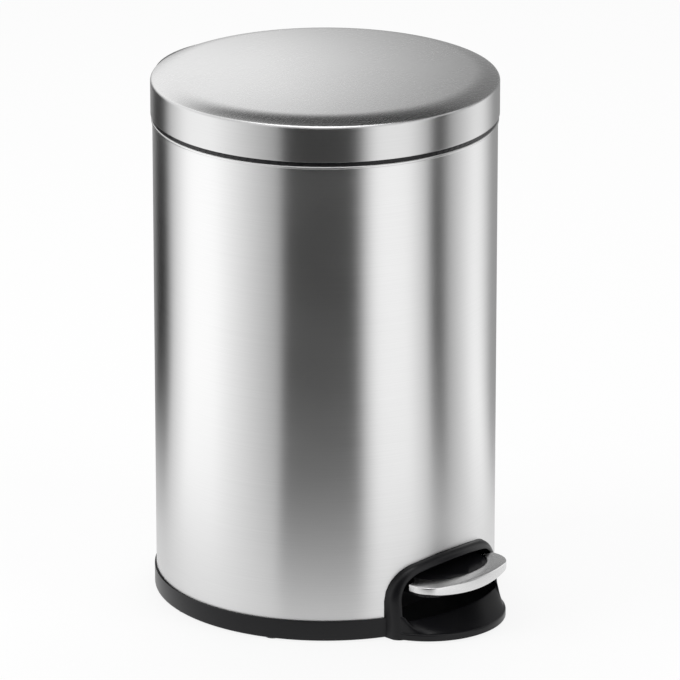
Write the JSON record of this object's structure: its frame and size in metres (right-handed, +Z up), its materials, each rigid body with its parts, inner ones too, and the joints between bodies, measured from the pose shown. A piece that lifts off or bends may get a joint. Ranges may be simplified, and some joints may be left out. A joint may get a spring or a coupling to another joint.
{
  "type": "pedal bin",
  "caption": "Round brushed-steel pedal bin: hinged domed lid, black base ring with an arched pedal housing, foot lever, lift rod and lift-out inner bucket.",
  "frame": {"origin": "on the bin's vertical axis, at floor level", "axes": "+Z up along the bin's axis, pedal towards -Y, lid hinge towards +Y"},
  "size_m": [0.2921, 0.3431, 0.4601],
  "materials": {
    "body_steel": "horizontal brushed stainless steel",
    "lid_steel": "satin stainless steel",
    "trim_steel": "satin steel pedal trim",
    "zinc_steel": "zinc plated steel",
    "black_plastic": "satin black moulded plastic",
    "bucket_plastic": "dark grey moulded plastic",
    "grey_plastic": "grey moulded plastic",
    "rubber": "soft black rubber"
  },
  "bodies": {
    "stand": {"body_shell": "body_steel", "top_collar": "black_plastic", "base_ring": "black_plastic", "rubber_feet": "rubber", "bottom_plate": "black_plastic", "bottom_plate_screws": "zinc_steel", "hinge_housing": "black_plastic", "hinge_housing_screws": "zinc_steel", "hinge_pin": "zinc_steel", "pivot_bracket": "zinc_steel", "pivot_bracket_screws": "zinc_steel", "pivot_axle": "zinc_steel", "axle_clips": "zinc_steel", "rod_guide_lower": "zinc_steel", "rod_guide_upper": "zinc_steel"},
    "lid": {"lid_shell": "lid_steel", "lid_liner": "black_plastic", "lid_bumpers": "rubber", "lid_hinge_bracket": "black_plastic", "lid_bracket_screws": "zinc_steel", "crank_pin": "zinc_steel"},
    "pedal": {"pedal_lever": "zinc_steel", "pedal_trim": "trim_steel", "pedal_pad": "black_plastic", "pedal_screws": "zinc_steel"},
    "lifter": {"lift_rod": "zinc_steel", "rod_foot": "grey_plastic", "rod_eye": "grey_plastic"},
    "bucket": {"inner_bucket": "bucket_plastic"},
    "bail": {"bucket_bail": "zinc_steel", "bail_grip": "black_plastic"}
  },
  "joints": [
    {"name": "lid_hinge", "type": "hinge", "parent": "stand", "child": "lid", "pos_m": [0, 0.152, 0.418], "axis": [-1, 0, 0], "range_deg": [0, 72]},
    {"name": "pedal_pivot", "type": "hinge", "parent": "stand", "child": "pedal", "pos_m": [0, -0.04, 0.0357], "axis": [1, 0, 0], "range_deg": [0, 8.13]},
    {"name": "lifter_slide", "type": "slide", "parent": "stand", "child": "lifter", "axis": [0, 0, 1], "range_m": [0, 0.02456]},
    {"name": "bucket_lift", "type": "slide", "parent": "stand", "child": "bucket", "axis": [0, 0, 1], "range_m": [0, 0.008]},
    {"name": "bail_swing", "type": "hinge", "parent": "bucket", "child": "bail", "pos_m": [0, 0, 0.412], "axis": [-1, 0, 0], "range_deg": [0, 12]}
  ],
  "couplings": [
    {"joint": "pedal_pivot", "follows": "lid_hinge", "ratio": 0.11224},
    {"joint": "lifter_slide", "follows": "lid_hinge", "m_per_rad": 0.019464}
  ]
}
